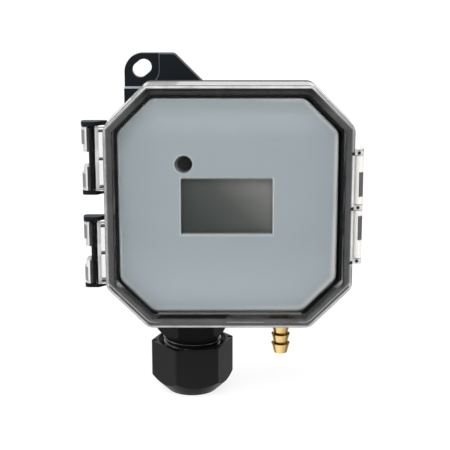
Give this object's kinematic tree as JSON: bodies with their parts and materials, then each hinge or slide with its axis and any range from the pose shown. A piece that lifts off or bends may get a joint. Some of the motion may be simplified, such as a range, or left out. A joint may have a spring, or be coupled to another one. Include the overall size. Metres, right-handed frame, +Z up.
{
  "type": "pressure transmitter",
  "caption": "Wall-mounted pressure transmitter: black box with slotted ears, clear hinged lid and latch over a grey display face, cable gland and brass hose barbs below.",
  "frame": {"origin": "centre of the back face, on the wall plane", "axes": "+Y into the wall, so the display faces -Y; +Z up; +X to the viewer's right"},
  "size_m": [0.1017, 0.048, 0.1273],
  "materials": {
    "black_housing": "fine moulded texture",
    "grey_plate": "satin moulded",
    "clear_lid": "clear polished",
    "gasket_rubber": "soft foam",
    "pin_steel": "drawn wire",
    "display_dark": "dark display",
    "frame_black": "moulded",
    "guide_white": "white light guide",
    "board_green": "solder mask",
    "screw_steel": "plated",
    "terminal_green": "moulded",
    "sensor_white": "moulded",
    "chip_black": "moulded",
    "can_metal": "plain",
    "ribbon_white": "flat ribbon",
    "hose_clear": "soft silicone",
    "brass": "turned",
    "seal_black": "moulded",
    "gland_black": "moulded nylon",
    "button_black": "smooth"
  },
  "bodies": {
    "base": {"base_housing": "black_housing", "face_plate": "grey_plate", "button_switch": "chip_black", "lcd_glass": "display_dark", "lcd_frame": "frame_black", "lcd_light_guide": "guide_white", "display_board": "board_green", "display_screws": "screw_steel", "main_board": "board_green", "board_screws": "screw_steel", "terminal_block": "terminal_green", "terminal_screws": "screw_steel", "pressure_sensor": "sensor_white", "microcontroller": "chip_black", "radio_module": "can_metal", "filter_capacitor": "can_metal", "display_ribbon": "ribbon_white", "ribbon_sockets": "chip_black", "high_port_fitting": "brass", "low_port_fitting": "brass", "port_seals": "seal_black", "port_nuts": "brass", "high_port_tube": "hose_clear", "low_port_tube": "hose_clear", "gland_body": "gland_black", "gland_washer": "seal_black", "gland_locknut": "gland_black", "gland_seal": "seal_black"},
    "lid": {"lid": "clear_lid", "lid_gasket": "gasket_rubber", "latch_pin": "pin_steel"},
    "latch": {"latch": "clear_lid"},
    "button": {"push_button": "button_black"},
    "gland_nut": {"gland_nut": "gland_black"}
  },
  "joints": [
    {"name": "lid_hinge", "type": "hinge", "parent": "base", "child": "lid", "pos_m": [-0.0488, -0.037, 0], "axis": [0, 0, -1], "range_deg": [0, 150]},
    {"name": "latch_hinge", "type": "hinge", "parent": "lid", "child": "latch", "pos_m": [0.0459, -0.043, 0], "axis": [0, 0, -1], "range_deg": [0, 100]},
    {"name": "button_press", "type": "slide", "parent": "base", "child": "button", "axis": [0, 1, 0], "range_m": [0, 0.0006], "stiffness_N_per_m": 150},
    {"name": "gland_nut_turn", "type": "hinge", "parent": "base", "child": "gland_nut", "pos_m": [-0.0141, -0.02, -0.066], "axis": [0, 0, 1], "range_deg": [-180, 180]}
  ]
}
